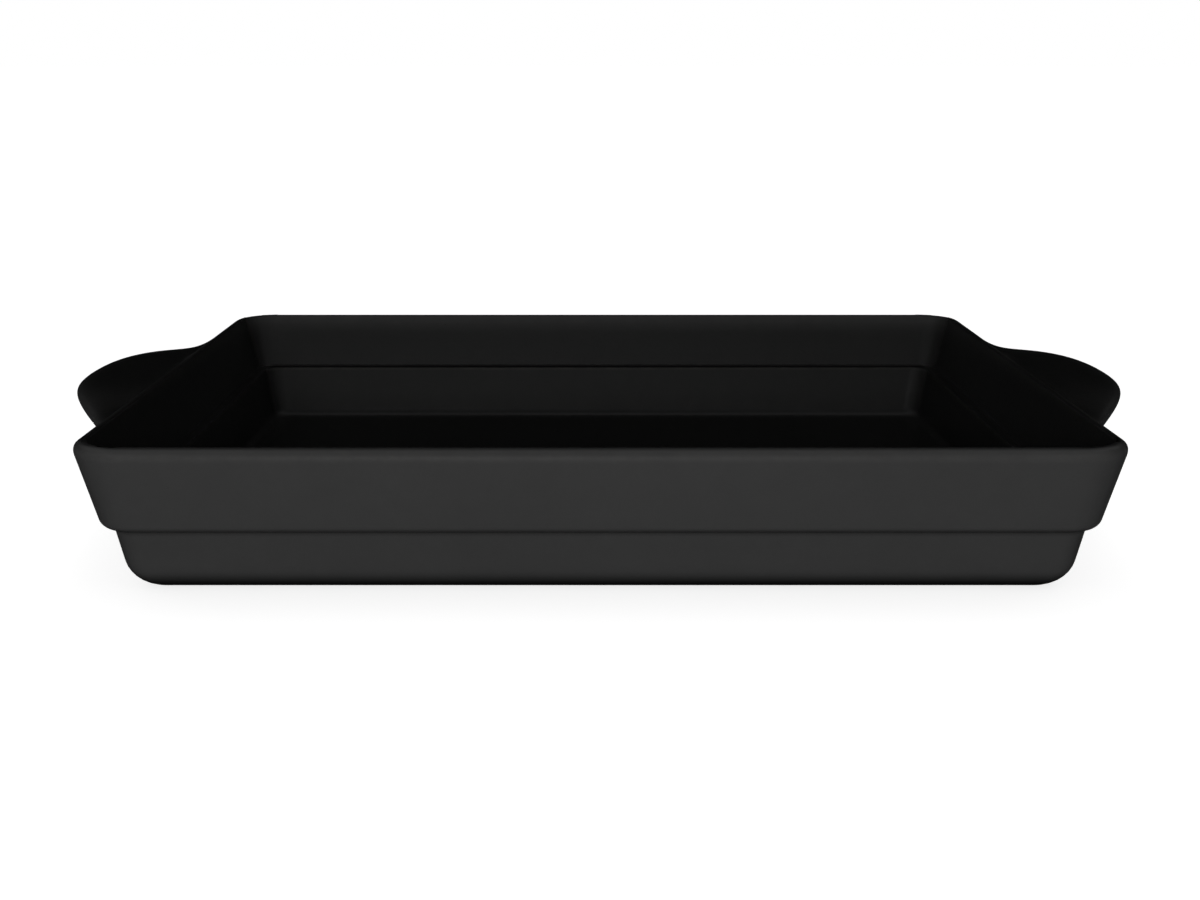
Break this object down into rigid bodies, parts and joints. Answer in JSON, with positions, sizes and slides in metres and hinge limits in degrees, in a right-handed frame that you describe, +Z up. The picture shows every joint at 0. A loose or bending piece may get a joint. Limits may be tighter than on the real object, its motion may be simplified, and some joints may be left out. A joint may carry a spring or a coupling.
{
  "type": "rectangular baking dish",
  "caption": "Rectangular two-tier stoneware baking dish with flared walls, a stepped outside, a ledge inside and a tongue handle on each short side.",
  "frame": {"origin": "on the surface that the dish stands on, under its centre", "axes": "+Z up, X along the dish from the left handle to the right handle, +Y towards the far long side"},
  "size_m": [0.424, 0.284, 0.055],
  "materials": {
    "basin_glaze": "black satin glaze, bare clay on the foot ring",
    "band_glaze": "black satin glaze",
    "handle_glaze": "black satin glaze"
  },
  "bodies": {
    "root": {"lower_basin": "basin_glaze", "upper_band": "band_glaze", "left_handle": "handle_glaze", "right_handle": "handle_glaze"}
  },
  "joints": []
}
